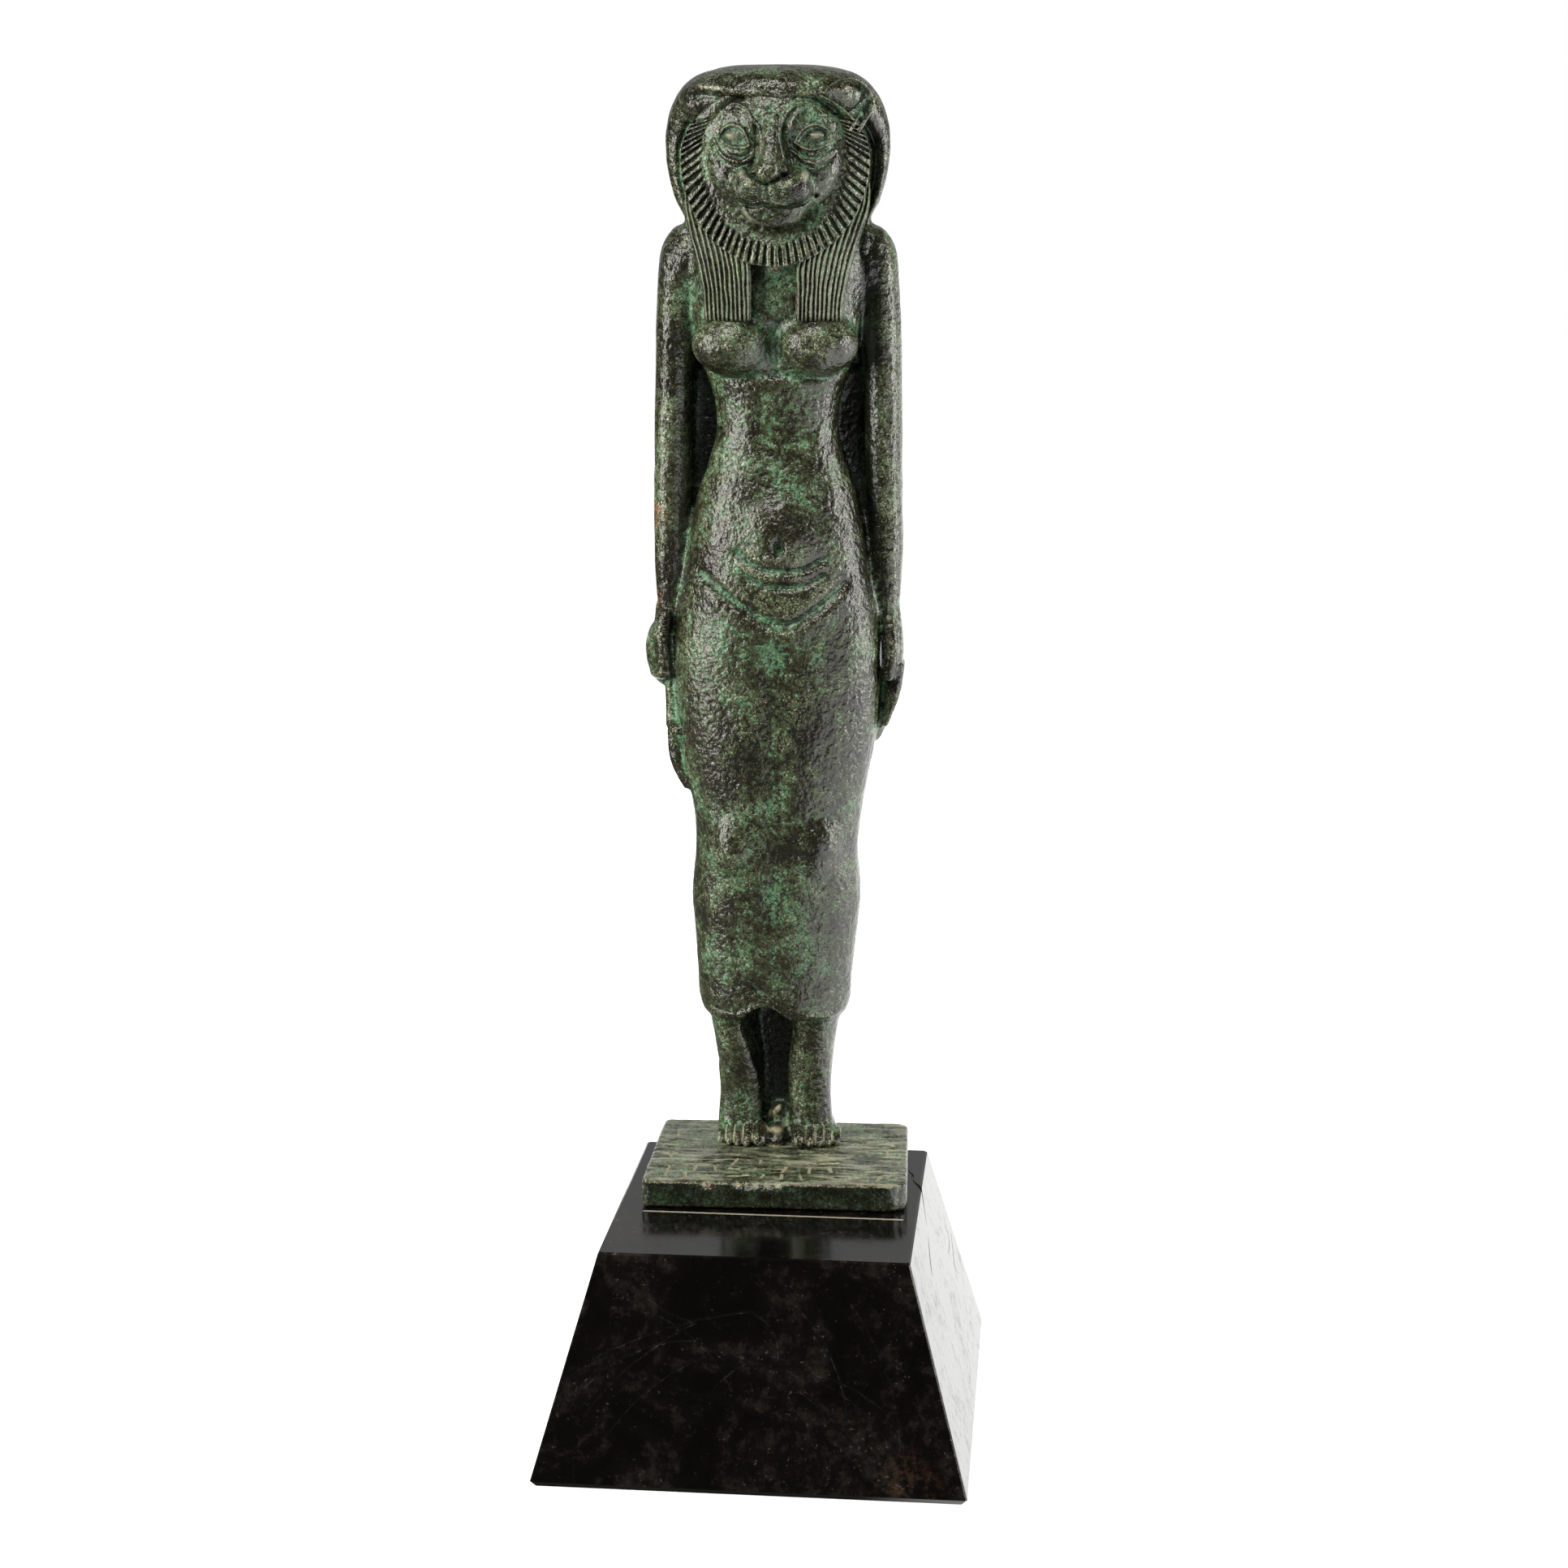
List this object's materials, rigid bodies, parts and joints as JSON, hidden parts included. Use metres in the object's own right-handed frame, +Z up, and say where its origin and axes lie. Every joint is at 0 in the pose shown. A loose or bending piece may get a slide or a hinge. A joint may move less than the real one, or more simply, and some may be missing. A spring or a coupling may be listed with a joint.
{
  "type": "lioness-headed goddess statuette",
  "caption": "Small standing bronze of a lioness-headed goddess in a tight dress, cast with a thin plate and set on a tapered black stone plinth.",
  "frame": {"origin": "centre of the plinth's underside", "axes": "+Z up, -Y to the front, where the goddess looks, -X to her right side; the plinth's sides are square to the axes"},
  "size_m": [0.075, 0.0804, 0.2392],
  "materials": {
    "patinated_bronze": "dark brown-black bronze with a granular green patina and pale highlights where it is rubbed",
    "black_stone": "polished black stone with pale specks and thin scratches"
  },
  "bodies": {
    "root": {"bronze_figure": "patinated_bronze", "stone_plinth": "black_stone"}
  },
  "joints": []
}
